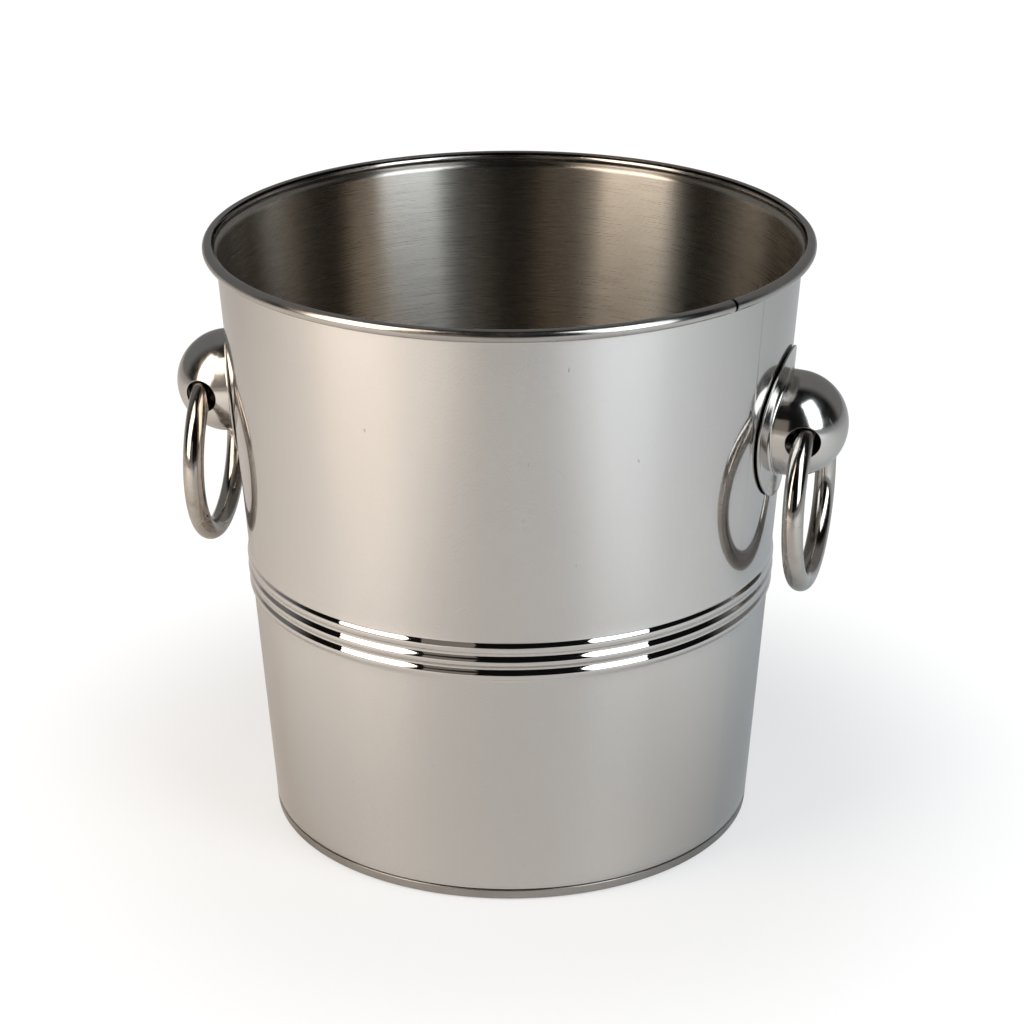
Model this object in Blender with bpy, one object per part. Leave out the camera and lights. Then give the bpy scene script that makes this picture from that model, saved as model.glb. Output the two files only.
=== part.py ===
"""Champagne bucket in stainless steel, with a ring handle on each side.

A tapered sheet wall stands in a pressed base pan and carries a split tube as its rim.
Each handle is a hollow knob on a round back plate that is bent to the wall's curve. A
screw from inside clamps both. An open ring swings in two holes through the knob.

Metres, +Z up. The origin is the middle of the foot's underside. The handles are near
+X and -X, each a few degrees round towards the front, which is -Y.
"""

from math import asin, cos, degrees, radians, sin, sqrt, tan

import bmesh
import bpy
from mathutils import Matrix, Vector

MM = 0.001

# Driving dimensions, in millimetres and degrees
HEIGHT = 223.3
RIM_RADIUS = 110.3
RIM_TUBE_RADIUS = 2.25
FOOT_RADIUS = 90.06
TAPER = 4.05
SHEET = 0.8
GAP = 0.3
TURN_STEPS = 64

RIM_JOINT_ANGLE = -33.0
RIM_JOINT_GAP = 0.4
RIM_TUBE_WALL = 0.7
RIM_SLOT_ANGLE = 225.0
RIM_SLOT_WIDTH = 1.5
FLARE_REACH = 1.6

PAN_FLANGE_HEIGHT = 4.2
PAN_CONTACT_INNER = 80.0
PAN_CORNER = 0.7
PAN_RISE = 2.0
PAN_STEP = 3.0
FOOT_CLEARANCE = 0.35

BEAD_HEIGHTS = (92.7, 97.95, 103.2)
BEAD_WIDTH = 5.25
BEAD_RISE = 0.6

HANDLE_HEIGHT = 161.3
HANDLE_TURN = 3.2
PLATE_RADIUS = 27.5
PLATE_THICKNESS = 1.0
PLATE_STEPS = 36
KNOB_RADIUS = 19.2
KNOB_CENTRE = 5.0
KNOB_WALL = 1.2
KNOB_STEPS = 32
KNOB_SKIRT_END = -2.0
HOLE_RADIUS = 6.05
HINGE_OUT = 11.2
HINGE_DROP = 0.7

RING_RADIUS = 31.35
RING_WIRE_RADIUS = 3.85
RING_CROSSING = 17.5
RING_END = 10.0
RING_STEPS = 40
WIRE_SIDES = 12

SCREW_RADIUS = 2.4
SCREW_HOLE_RADIUS = 2.8
SCREW_HEAD_RADIUS = 4.8
SCREW_HEAD_HEIGHT = 3.0
SCREW_TIP = 6.2
NUT_ACROSS_FLATS = 8.0
NUT_HEIGHT = 4.0
WASHER_RADIUS = 7.0
WASHER_THICKNESS = 1.0
SEAL_RADIUS = 6.6
SEAL_THICKNESS = 1.2
FIXING_STEPS = 24

# The wall bends out here, at 45 degrees, towards the middle of the rim tube
FLARE_START = (HEIGHT - RIM_RADIUS - SHEET / sqrt(2) + FOOT_RADIUS) / (1 - tan(radians(TAPER)))

# Distances along a handle's axis, out from the wall's outer face
PLATE_BACK = GAP
PLATE_FRONT = PLATE_BACK + PLATE_THICKNESS
KNOB_BACK = PLATE_FRONT + GAP
SEAL_FRONT = -1.4
SEAL_BACK = SEAL_FRONT - SEAL_THICKNESS
WASHER_FRONT = SEAL_BACK - GAP
WASHER_BACK = WASHER_FRONT - WASHER_THICKNESS
SCREW_HEAD_FRONT = WASHER_BACK - GAP


def clear_scene():
    for thing in list(bpy.data.objects):
        bpy.data.objects.remove(thing)


def finish(name, colour, roughness, metallic=1.0):
    """A Principled material in the piece's own colour."""
    material = bpy.data.materials.new(name)
    material.use_nodes = True
    shader = material.node_tree.nodes["Principled BSDF"]
    shader.inputs["Base Color"].default_value = (*colour, 1.0)
    shader.inputs["Roughness"].default_value = roughness
    shader.inputs["Metallic"].default_value = metallic
    material.diffuse_color = (*colour, 1.0)
    return material


def wall_radius(height):
    """The wall's outer radius at a height, before any bead."""
    return FOOT_RADIUS + height * tan(radians(TAPER))


def add_object(name, mesh_data, material, sharp_angle=35.0):
    mesh = bpy.data.meshes.new(name)
    mesh_data.to_mesh(mesh)
    mesh_data.free()
    mesh.materials.append(material)
    mesh.shade_smooth()
    mesh.set_sharp_from_angle(angle=radians(sharp_angle))
    piece = bpy.data.objects.new(name, mesh)
    bpy.context.scene.collection.objects.link(piece)
    return piece


def turned(name, outline, material, steps=TURN_STEPS, start=0.0, sweep=360.0):
    """A solid turned about Z from an outline of (radius, height) points in millimetres.

    An outline that starts and ends on the axis is left open there; any other is closed.
    """
    shape = bmesh.new()
    turn = Matrix.Rotation(radians(start), 3, "Z")
    points = [shape.verts.new(turn @ Vector((r * MM, 0, z * MM))) for r, z in outline]
    lines = [shape.edges.new(pair) for pair in zip(points, points[1:])]
    on_axis = outline[0][0] == 0 and outline[-1][0] == 0
    if not on_axis:
        lines.append(shape.edges.new((points[-1], points[0])))
    swept = points + lines
    if sweep < 360.0:
        swept.append(shape.faces.new(points))
    bmesh.ops.spin(
        shape,
        geom=swept,
        cent=(0, 0, 0),
        axis=(0, 0, 1),
        angle=radians(sweep),
        steps=steps,
        use_merge=sweep == 360.0,
    )
    bmesh.ops.remove_doubles(shape, verts=shape.verts[:], dist=0.001 * MM)
    bmesh.ops.recalc_face_normals(shape, faces=shape.faces[:])
    return add_object(name, shape, material)


def arc(centre, radius, first, last, count):
    """Points along an arc in an outline, both ends included."""
    angles = [radians(first + (last - first) * i / (count - 1)) for i in range(count)]
    return [(centre[0] + radius * cos(a), centre[1] + radius * sin(a)) for a in angles]


def cut(piece, cutter, operation="DIFFERENCE"):
    """Cut one piece with another, which stays as a hidden guide."""
    cutter.hide_render = True
    cutter.display_type = "WIRE"
    boolean = piece.modifiers.new("Cut " + cutter.name, "BOOLEAN")
    boolean.operation = operation
    boolean.solver = "EXACT"
    boolean.object = cutter


def rod_cutter(name, radius, length, material, steps=FIXING_STEPS):
    """A plain rod along its own Z, centred on its origin."""
    half = length / 2
    return turned(name, [(0, half), (radius, half), (radius, -half), (0, -half)], material, steps)


def handle_angle(side):
    """A handle's direction round the bucket: the right one's is 1 and the left one's -1."""
    return -HANDLE_TURN if side > 0 else 180.0 + HANDLE_TURN


def handle_frame(side):
    """The frame on the wall's outer face: Z out of the wall, X down it."""
    turn = Matrix.Rotation(radians(handle_angle(side)), 4, "Z")
    place = Matrix.Translation((wall_radius(HANDLE_HEIGHT) * MM, 0, HANDLE_HEIGHT * MM))
    return turn @ place @ Matrix.Rotation(radians(90.0 + TAPER), 4, "Y")


def wall_outline():
    """The wall's section: a stepped foot, three swaged beads and a flare into the rim."""
    bead_low = BEAD_HEIGHTS[0] - BEAD_WIDTH / 2
    face = [(0.0, bead_low)]
    for middle in BEAD_HEIGHTS:
        face += [(BEAD_RISE * 0.72, middle - BEAD_WIDTH * 0.22)]
        face += [(BEAD_RISE * 0.72, middle + BEAD_WIDTH * 0.22), (0.0, middle + BEAD_WIDTH / 2)]
    step = SHEET + GAP
    ledge = PAN_FLANGE_HEIGHT + GAP
    face.append((0.0, FLARE_START))
    foot = [(-step, SHEET + FOOT_CLEARANCE), (-step, ledge), (0.0, ledge + 0.15)]
    shoulder = [(0.0, ledge + 1.8), (-step, ledge + SHEET), (-step, SHEET + FOOT_CLEARANCE)]
    outer = [(wall_radius(z) + out, z) for out, z in foot + face]
    inner = [(wall_radius(z) + out - SHEET, z) for out, z in face[::-1] + shoulder]
    tip = (wall_radius(FLARE_START) + FLARE_REACH, FLARE_START + FLARE_REACH)
    thin = SHEET / sqrt(2)
    return outer + [tip, (tip[0] - thin, tip[1] + thin)] + inner


def make_wall(steel):
    wall = turned("bucket_wall", wall_outline(), steel, start=RIM_JOINT_ANGLE)
    for side, word in ((1, "right"), (-1, "left")):
        drill = rod_cutter("wall_hole_" + word, SCREW_HOLE_RADIUS, 10.0, steel)
        drill.matrix_world = handle_frame(side)
        cut(wall, drill)
    return wall


def make_rim(steel):
    """A tube with a slot all round for the wall's edge, and a butt joint across it."""
    centre = (RIM_RADIUS - RIM_TUBE_RADIUS, HEIGHT - RIM_TUBE_RADIUS)
    inner_radius = RIM_TUBE_RADIUS - RIM_TUBE_WALL
    outer_half = degrees(asin(RIM_SLOT_WIDTH / 2 / RIM_TUBE_RADIUS))
    inner_half = degrees(asin(RIM_SLOT_WIDTH / 2 / inner_radius))
    start, stop = RIM_SLOT_ANGLE - 360, RIM_SLOT_ANGLE
    outline = arc(centre, RIM_TUBE_RADIUS, start + outer_half, stop - outer_half, 11)
    outline += arc(centre, inner_radius, stop - inner_half, start + inner_half, 7)
    joint = degrees(RIM_JOINT_GAP / RIM_RADIUS)
    first = RIM_JOINT_ANGLE + joint / 2
    return turned("rim_tube", outline, steel, start=first, sweep=360.0 - joint)


def make_base_pan(steel):
    """A pressed pan: a raised middle, a flat ring to stand on and an upstand."""
    top = PAN_FLANGE_HEIGHT
    stand = wall_radius(0) - PAN_CORNER
    raised = PAN_CONTACT_INNER - PAN_STEP
    under = [(0, PAN_RISE), (raised, PAN_RISE), (PAN_CONTACT_INNER, 0), (stand, 0)]
    side = [(wall_radius(0) - 0.25, 0.25), (wall_radius(PAN_CORNER), PAN_CORNER)]
    side += [(wall_radius(top), top), (wall_radius(top) - SHEET, top)]
    floor = [(wall_radius(SHEET) - SHEET, SHEET), (PAN_CONTACT_INNER + GAP, SHEET)]
    floor += [(raised + GAP, PAN_RISE + SHEET), (0, PAN_RISE + SHEET)]
    return turned("base_pan", under + side + floor, steel, start=RIM_JOINT_ANGLE)


def make_back_plate(word, side, steel):
    """A round plate, cut from a strip that is bent to the wall's curve."""
    low = HANDLE_HEIGHT - PLATE_RADIUS - 2.0
    high = HANDLE_HEIGHT + PLATE_RADIUS + 2.0
    half_sweep = degrees((PLATE_RADIUS + 2.0) / wall_radius(low))
    strip = [(wall_radius(low) + PLATE_BACK, low), (wall_radius(low) + PLATE_FRONT, low)]
    strip += [(wall_radius(high) + PLATE_FRONT, high), (wall_radius(high) + PLATE_BACK, high)]
    start = handle_angle(side) - half_sweep
    name = "back_plate_" + word
    plate = turned(name, strip, steel, PLATE_STEPS, start=start, sweep=2 * half_sweep)
    blank = rod_cutter("plate_blank_" + word, PLATE_RADIUS, 30.0, steel, 60)
    blank.matrix_world = handle_frame(side)
    cut(plate, blank, "INTERSECT")
    drill = rod_cutter("plate_hole_" + word, SCREW_HOLE_RADIUS, 10.0, steel)
    drill.matrix_world = handle_frame(side)
    cut(plate, drill)
    return plate


def make_knob(word, side, steel):
    """A hollow dome, open at its back, with a hole through both flanks for the ring.

    Its skirt's edge is cut to the curve of the back plate that it stands on.
    """
    frame = handle_frame(side)
    centre = (0, KNOB_CENTRE)
    inner_radius = KNOB_RADIUS - KNOB_WALL
    inner = [(inner_radius, KNOB_SKIRT_END)] + arc(centre, inner_radius, 0, 80, 8)
    inner.append((0, KNOB_CENTRE + inner_radius))
    outer = [(0, KNOB_CENTRE + KNOB_RADIUS)] + arc(centre, KNOB_RADIUS, 80, 0, 9)
    outer.append((KNOB_RADIUS, KNOB_SKIRT_END))
    knob = turned("knob_" + word, inner[::-1] + outer[::-1], steel, steps=KNOB_STEPS)
    knob.matrix_world = frame
    low = HANDLE_HEIGHT - PLATE_RADIUS
    high = HANDLE_HEIGHT + PLATE_RADIUS
    core = [(0, low), (wall_radius(low) + KNOB_BACK, low)]
    core += [(wall_radius(high) + KNOB_BACK, high), (0, high)]
    cut(knob, turned("plate_curve_" + word, core, steel, steps=180))
    drill = rod_cutter("ring_hole_" + word, HOLE_RADIUS, 2.4 * KNOB_RADIUS, steel, 28)
    across = Matrix.Rotation(radians(90), 4, "X")
    drill.matrix_world = frame @ Matrix.Translation(hinge_offset()) @ across
    cut(knob, drill)
    return knob


def hinge_offset():
    """The ring's hinge in a handle's frame: out of the wall and a little down."""
    return Vector((HINGE_DROP * MM, 0, HINGE_OUT * MM))


def make_ring(word, side, steel):
    """An open ring of round wire, whose two ends stay hidden inside the knob.

    Its origin is on the hinge, and the ring hangs straight down from there.
    """
    drop = sqrt(RING_RADIUS**2 - RING_CROSSING**2)
    end = degrees(asin(RING_END / RING_RADIUS))
    shape = bmesh.new()
    top = Vector((0, 0, RING_RADIUS * MM))
    wire = bmesh.ops.create_circle(
        shape,
        cap_ends=True,
        segments=WIRE_SIDES,
        radius=RING_WIRE_RADIUS * MM,
        matrix=Matrix.Translation(top) @ Matrix.Rotation(radians(90), 4, "X"),
    )["verts"]
    bmesh.ops.rotate(
        shape, verts=wire, cent=(0, 0, 0), matrix=Matrix.Rotation(radians(end), 3, "X")
    )
    bmesh.ops.spin(
        shape,
        geom=shape.verts[:] + shape.edges[:] + shape.faces[:],
        cent=(0, 0, 0),
        axis=(1, 0, 0),
        angle=radians(360 - 2 * end),
        steps=RING_STEPS,
    )
    bmesh.ops.translate(shape, verts=shape.verts[:], vec=(0, 0, -drop * MM))
    bmesh.ops.recalc_face_normals(shape, faces=shape.faces[:])
    ring = add_object("ring_" + word, shape, steel, sharp_angle=50.0)
    ring.location = handle_frame(side) @ hinge_offset()
    ring.rotation_euler.z = radians(handle_angle(side))
    return ring


def make_fixing(word, frame, steel, rubber):
    """The screw from inside the bucket, its two washers and the nut under the knob."""
    hole = SCREW_HOLE_RADIUS
    seal = [(hole, SEAL_BACK), (SEAL_RADIUS, SEAL_BACK)]
    seal += [(SEAL_RADIUS, SEAL_FRONT), (hole, SEAL_FRONT)]
    washer = [(hole, WASHER_BACK), (WASHER_RADIUS, WASHER_BACK)]
    washer += [(WASHER_RADIUS, WASHER_FRONT), (hole, WASHER_FRONT)]
    head = SCREW_HEAD_FRONT
    crown = head - SCREW_HEAD_HEIGHT
    screw = [(0, crown), (SCREW_HEAD_RADIUS * 0.6, crown), (SCREW_HEAD_RADIUS * 0.9, crown + 0.7)]
    screw += [(SCREW_HEAD_RADIUS, crown + 1.6), (SCREW_HEAD_RADIUS, head), (SCREW_RADIUS, head)]
    screw += [(SCREW_RADIUS, SCREW_TIP - 0.5), (SCREW_RADIUS - 0.5, SCREW_TIP), (0, SCREW_TIP)]
    pieces = [
        turned("seal_washer_" + word, seal, rubber, FIXING_STEPS),
        turned("steel_washer_" + word, washer, steel, FIXING_STEPS),
        turned("fixing_screw_" + word, screw, steel, FIXING_STEPS),
        make_nut(word, frame, steel),
    ]
    for piece in pieces:
        piece.matrix_world = frame


def make_nut(word, frame, steel):
    corner = NUT_ACROSS_FLATS / 2 / cos(radians(30))
    low, high = KNOB_BACK, KNOB_BACK + NUT_HEIGHT
    nut = turned("nut_" + word, [(0, high), (corner, high), (corner, low), (0, low)], steel, 6)
    bore = rod_cutter("nut_bore_" + word, SCREW_HOLE_RADIUS, 20.0, steel)
    bore.matrix_world = frame
    cut(nut, bore)
    return nut


def main():
    clear_scene()
    satin = finish("Satin steel", (0.60, 0.59, 0.58), 0.22)
    brushed = finish("Brushed steel base", (0.55, 0.54, 0.52), 0.32)
    mirror = finish("Mirror steel", (0.62, 0.61, 0.60), 0.10)
    wire = finish("Polished ring wire", (0.58, 0.57, 0.56), 0.16)
    plain = finish("Plain steel fixings", (0.55, 0.55, 0.55), 0.35)
    rubber = finish("Grey rubber", (0.08, 0.08, 0.08), 0.7, metallic=0.0)
    make_wall(satin)
    make_rim(mirror)
    make_base_pan(brushed)
    for side, word in ((1, "right"), (-1, "left")):
        make_back_plate(word, side, mirror)
        make_knob(word, side, mirror)
        make_ring(word, side, wire)
        make_fixing(word, handle_frame(side), plain, rubber)


main()
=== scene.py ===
"""Looks of a champagne bucket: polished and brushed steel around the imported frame."""

from math import acos, asin, cos, pi, radians, sin, sqrt, tan

import bmesh
import bpy
from mathutils import Matrix, Quaternion, Vector


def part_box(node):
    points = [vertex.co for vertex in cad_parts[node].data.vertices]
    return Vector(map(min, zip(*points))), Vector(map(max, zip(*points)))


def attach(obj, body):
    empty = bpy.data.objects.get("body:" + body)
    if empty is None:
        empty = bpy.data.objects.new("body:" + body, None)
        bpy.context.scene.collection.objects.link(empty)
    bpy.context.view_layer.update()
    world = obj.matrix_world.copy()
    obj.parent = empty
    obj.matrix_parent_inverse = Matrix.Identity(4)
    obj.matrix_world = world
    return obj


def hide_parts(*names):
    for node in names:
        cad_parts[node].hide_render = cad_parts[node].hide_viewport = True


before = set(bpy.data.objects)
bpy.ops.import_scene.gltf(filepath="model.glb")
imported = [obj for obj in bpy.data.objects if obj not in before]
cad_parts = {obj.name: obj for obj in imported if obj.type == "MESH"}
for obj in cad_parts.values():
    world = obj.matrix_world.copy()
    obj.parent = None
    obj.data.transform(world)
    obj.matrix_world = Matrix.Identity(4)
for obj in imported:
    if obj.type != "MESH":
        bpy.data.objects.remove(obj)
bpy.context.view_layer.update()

MM = 0.001

# ---------------------------------------------------------------------------
# Sizes, in millimetres and degrees unless a note says otherwise
# ---------------------------------------------------------------------------

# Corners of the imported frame's own boxes, in metres
RIM_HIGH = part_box("rim_tube")[1]
WALL_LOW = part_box("bucket_wall")[0]

# The rim: a tube slotted along its underside, pushed over the wall's top edge
HEIGHT = RIM_HIGH.z / MM
RIM_RADIUS = RIM_HIGH.x / MM
RIM_TUBE_RADIUS = 2.25
RIM_TUBE_WALL = 0.7
RIM_JOINT_ANGLE = -33.0
RIM_JOINT_GAP = 0.5
RIM_SLOT_ANGLE = 225.0
RIM_SLOT_WIDTH = 1.2
RIM_STEPS = 360
RIM_TUBE_STEPS = 40

# The wall's sheet, its stepped foot and its flare
FOOT_RADIUS = 90.06
TAPER = 4.05
SLOPE = tan(radians(TAPER))
SHEET = 0.8
LEDGE = 4.45
FOOT_STEP = 1.0
FOOT_BEND = 0.5
TUCK_BELOW = 0.1
TUCK_ABOVE = 0.35
FLARE_START = 217.9
FLARE_REACH = 1.9
FLARE_BEND = 1.0
FLARE_EASE = 0.8
WAVINESS = 0.12
WALL_STEPS = 257
SEAM_ANGLE = -21.0

# The three swaged beads
BEAD_FIRST = 92.7
BEAD_PITCH = 5.25
BEAD_RISE = 1.1
BEAD_FULLNESS = 0.85
TOP_BEAD_SHARE = 0.78
BEADS = 3

# The base pan: (radius, height) outlines from the middle outwards and back
PAN_TOP = 4.2
PAN_CORNER = 0.9
PAN_UNDERSIDE = [(0, 1.6), (30, 1.7), (74.5, 2.0), (77.0, 1.9), (80.0, 0.0), (88.6, 0.0)]
PAN_FLOOR = [(80.3, SHEET), (77.3, 2.75), (74.5, 2.8), (30, 2.5), (0, 2.4)]
PAN_STEPS = 256

# Back plates: depths count outwards from the wall's face
HANDLE_HEIGHT = 161.3
HANDLE_TURN = 3.2
PLATE_RADIUS = 27.5
PLATE_BACK = 0.3
PLATE_FRONT = 1.3
PLATE_FILLET = 1.1
PLATE_DISH = 0.25
PLATE_EDGE_START = 26.0
PLATE_EDGE_CORNER = 0.34
PLATE_BORE = 2.8
PLATE_STEPS = 160

# Knobs
KNOB_CENTRE = 5.0
KNOB_WALL = 0.8
KNOB_EDGE = 0.55
KNOB_STEPS_ROUND = 144
KNOB_STEPS_OUT = 40
HOLE_RADIUS = 6.1

# Rings and their hinges
HINGE_OUT = 11.2
HINGE_DROP = 0.7
RING_RADIUS = 31.35
WIRE_RADIUS = 3.85
RING_CROSSING = 17.5
RING_END = 10.0
RING_STEPS = 220
WIRE_STEPS = 40

# Fixings: (radius, height) outlines round the screw, heights out from the wall's face
SEAL_OUTLINE = [(2.8, -2.5), (6.6, -2.5), (6.6, -1.25), (2.8, -1.25)]
WASHER_OUTLINE = [(2.6, -3.55), (7.0, -3.55), (7.0, -2.55), (2.6, -2.55)]
SCREW_HEAD = [(0, -6.4), (2.6, -6.3), (4.1, -5.7), (4.75, -4.6), (4.8, -3.6)]
SCREW_SHANK = [(2.4, -3.6), (2.4, 5.8), (1.9, 6.2), (0, 6.2)]
FIXING_STEPS = 64
NUT_CORNER = 4.62
NUT_FLAT = 4.0
NUT_BORE = 2.6
NUT_LOW = PLATE_FRONT + 0.05
NUT_HIGH = PLATE_FRONT + 4.2
NUT_CHAMFER = 0.5
NUT_STEPS = 72

# Points closer than this are one point
MERGE_SHEET = 0.002
MERGE_WALL = 0.005
MERGE_KNOB = 0.004
MERGE_TURNED = 0.001

# The camera: distances in metres
CAMERA_AZIMUTH = 13.1
CAMERA_ELEVATION = 22.62
CAMERA_DISTANCE = 1.1243
CAMERA_AIM = Vector((0, 0, 0.110))
CAMERA_LENS = 105.68
CAMERA_ROLL = -0.22
CAMERA_SHIFT = (0.0015, 0.0105)
CAMERA_NEAREST = 0.02

# The stage: distances in metres
FLOOR_RADIUS = 6.0
LIGHT_AIM = Vector((0, 0, 0.12))
WHITE_GLOW = 1.05

SIDES = ((1, "right"), (-1, "left"))

# ---------------------------------------------------------------------------
# Colours
# ---------------------------------------------------------------------------

WHITE = (1, 1, 1, 1)
SHEET_LIGHT = (0.585, 0.563, 0.54)
SHEET_GREY = (0.555, 0.535, 0.515)
WELD_GREY = (0.3, 0.29, 0.28)
NICK_BROWN = (0.3, 0.27, 0.24)
INNER_DARK = (0.37, 0.335, 0.295)
INNER_LIGHT = (0.53, 0.495, 0.445)
INNER_GREY = (0.50, 0.48, 0.45)
STAIN_BROWN = (0.16, 0.11, 0.07)
RIM_LIGHT = (0.45, 0.43, 0.41)
RIM_DARK = (0.34, 0.32, 0.295)
# Near-black painted shade for the rim tube's joint gap
JOINT_GAP_SHADE = (0.02, 0.018, 0.016)
PAN_LIGHT = (0.40, 0.38, 0.36)
PAN_DARK = (0.28, 0.26, 0.24)
KNOB_LIGHT = (0.60, 0.58, 0.555)
KNOB_DARK = (0.48, 0.455, 0.425)
# Near-black painted shade for the gap between a back plate and the wall
WALL_GAP_SHADE = (0.03, 0.026, 0.022)
WIRE_LIGHT = (0.45, 0.42, 0.385)
WIRE_DARK = (0.30, 0.265, 0.225)
WIRE_PIT = (0.22, 0.18, 0.14)
FIXING_LIGHT = (0.58, 0.57, 0.56)
FIXING_DARK = (0.44, 0.42, 0.40)
RUBBER_DARK = (0.05, 0.05, 0.05)
RUBBER_LIGHT = (0.09, 0.09, 0.088)
FLOOR_PALE = (0.80, 0.80, 0.80)
WARM_LAMP = (1.0, 0.88, 0.76)
WARM_STRIP = (1.0, 0.90, 0.80)
WARM_FLOOR = (1.0, 0.92, 0.84)
COOL = (0.86, 0.94, 1.0)


def wall_radius(height):
    """The wall's outer radius at a height, without beads, foot step or flare."""
    return FOOT_RADIUS + height * SLOPE


def handle_angle(side):
    """A handle's direction round the bucket. The side is 1 on the right and -1 on the left."""
    return -HANDLE_TURN if side > 0 else 180.0 + HANDLE_TURN


def handle_frame(side):
    """The frame on the wall's outer face at a handle: Z out of the wall, X down it."""
    turn = Matrix.Rotation(radians(handle_angle(side)), 4, "Z")
    place = Matrix.Translation((wall_radius(HANDLE_HEIGHT) * MM, 0, HANDLE_HEIGHT * MM))
    return turn @ place @ Matrix.Rotation(radians(90.0 + TAPER), 4, "Y")


KNOB_MIDDLE = handle_frame(1) @ Vector((0, 0, KNOB_CENTRE * MM))
KNOB_RADIUS = (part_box("knob_right")[1].x - KNOB_MIDDLE.x) / MM


# ---------------------------------------------------------------------------
# Node trees
# ---------------------------------------------------------------------------


def add(tree, kind, inputs=None, **settings):
    """One node, with its settings, its input values and its incoming links."""
    node = tree.nodes.new(kind)
    for name, value in settings.items():
        setattr(node, name, value)
    for key, value in (inputs or {}).items():
        if isinstance(value, bpy.types.NodeSocket):
            tree.links.new(value, node.inputs[key])
        else:
            node.inputs[key].default_value = value
    return node


def maths(tree, operation, *values):
    """One sum on values or links."""
    inputs = dict(enumerate(values))
    return add(tree, "ShaderNodeMath", inputs, operation=operation).outputs[0]


def remap(tree, value, low, high, to_low, to_high, kind="SMOOTHSTEP"):
    """Carry a value from one range into another, eased at both ends."""
    inputs = {"Value": value, "From Min": low, "From Max": high}
    inputs.update({"To Min": to_low, "To Max": to_high})
    return add(tree, "ShaderNodeMapRange", inputs, interpolation_type=kind).outputs[0]


# ---------------------------------------------------------------------------
# Steel finishes
# ---------------------------------------------------------------------------


def new_finish(name, colour, roughness, metallic=1.0):
    """A material with its Principled shader set to one even finish."""
    material = bpy.data.materials.new(name)
    material.use_nodes = True
    shader = material.node_tree.nodes["Principled BSDF"]
    shader.inputs["Base Color"].default_value = (*colour, 1.0)
    shader.inputs["Roughness"].default_value = roughness
    shader.inputs["Metallic"].default_value = metallic
    return material, material.node_tree, shader


def object_point(tree, scale=(1, 1, 1)):
    """Where a point lies on the object, stretched by a scale on each axis."""
    point = add(tree, "ShaderNodeTexCoord").outputs["Object"]
    return add(tree, "ShaderNodeMapping", {"Vector": point, "Scale": scale}).outputs[0]


def split_point(tree):
    """The three coordinates of a point on the object."""
    return add(tree, "ShaderNodeSeparateXYZ", {"Vector": object_point(tree)}).outputs


def turned_from(tree, point, angle):
    """How far round the bucket a point lies from an angle, in radians."""
    here = maths(tree, "ARCTAN2", point["Y"], point["X"])
    return maths(tree, "ABSOLUTE", maths(tree, "SUBTRACT", here, radians(angle)))


def noise(tree, scale, stretch=(1, 1, 1), detail=3.0, roughness=0.55):
    """Smooth random grey, from 0 to 1."""
    inputs = {"Vector": object_point(tree, stretch), "Scale": scale}
    inputs.update({"Detail": detail, "Roughness": roughness})
    return add(tree, "ShaderNodeTexNoise", inputs).outputs["Fac"]


def tint(tree, factor, first, second):
    """Blend two colours by a factor."""
    blend = add(tree, "ShaderNodeMix", data_type="RGBA")
    tree.links.new(factor, blend.inputs["Factor"])
    for socket, colour in ((blend.inputs[6], first), (blend.inputs[7], second)):
        if isinstance(colour, bpy.types.NodeSocket):
            tree.links.new(colour, socket)
        else:
            socket.default_value = (*colour, 1.0)
    return blend.outputs[2]


def bump(tree, height, distance, below=None):
    """Relief of a given depth in metres, on top of a finer one if there is one."""
    inputs = {"Height": height, "Distance": distance, "Strength": 1.0}
    if below is not None:
        inputs["Normal"] = below
    return add(tree, "ShaderNodeBump", inputs).outputs[0]


def lead_in(tree, shader, rough, colour, relief=None):
    """Lead a finish's roughness, colour and relief into its shader."""
    tree.links.new(rough, shader.inputs["Roughness"])
    tree.links.new(colour, shader.inputs["Base Color"])
    if relief is not None:
        tree.links.new(relief, shader.inputs["Normal"])


def hairlines(tree, across, along, axis="Z"):
    """Fine lines that run round an axis, as a wheel or belt leaves them."""
    stretch = {"X": (across, along, along), "Z": (along, along, across)}[axis]
    return noise(tree, 1.0, stretch, detail=2.0, roughness=0.7)


def scratches(tree, scale, amount):
    """Thin stray scratches: the edges of long cells, where a broad noise is high."""
    slant = (0.4, 0.9, 0.3)
    spin = add(tree, "ShaderNodeMapping", {"Vector": object_point(tree), "Rotation": slant})
    long_cells = add(tree, "ShaderNodeMapping", {"Vector": spin.outputs[0], "Scale": (1, 1, 0.18)})
    inputs = {"Vector": long_cells.outputs[0], "Scale": scale}
    cells = add(tree, "ShaderNodeTexVoronoi", inputs, feature="DISTANCE_TO_EDGE")
    line = remap(tree, cells.outputs["Distance"], 0.0, 0.012, 1.0, 0.0)
    patch = remap(tree, noise(tree, scale * 0.5), 0.62 - amount, 0.68 - amount, 0.0, 1.0)
    return maths(tree, "MULTIPLY", line, patch)


def brush_around_axis(tree, shader, amount):
    """Smear reflections across fine lines that run round the bucket's axis."""
    shader.inputs["Anisotropic"].default_value = amount
    shader.inputs["Anisotropic Rotation"].default_value = 0.25
    around = add(tree, "ShaderNodeTangent", direction_type="RADIAL", axis="Z")
    tree.links.new(around.outputs[0], shader.inputs["Tangent"])


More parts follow.
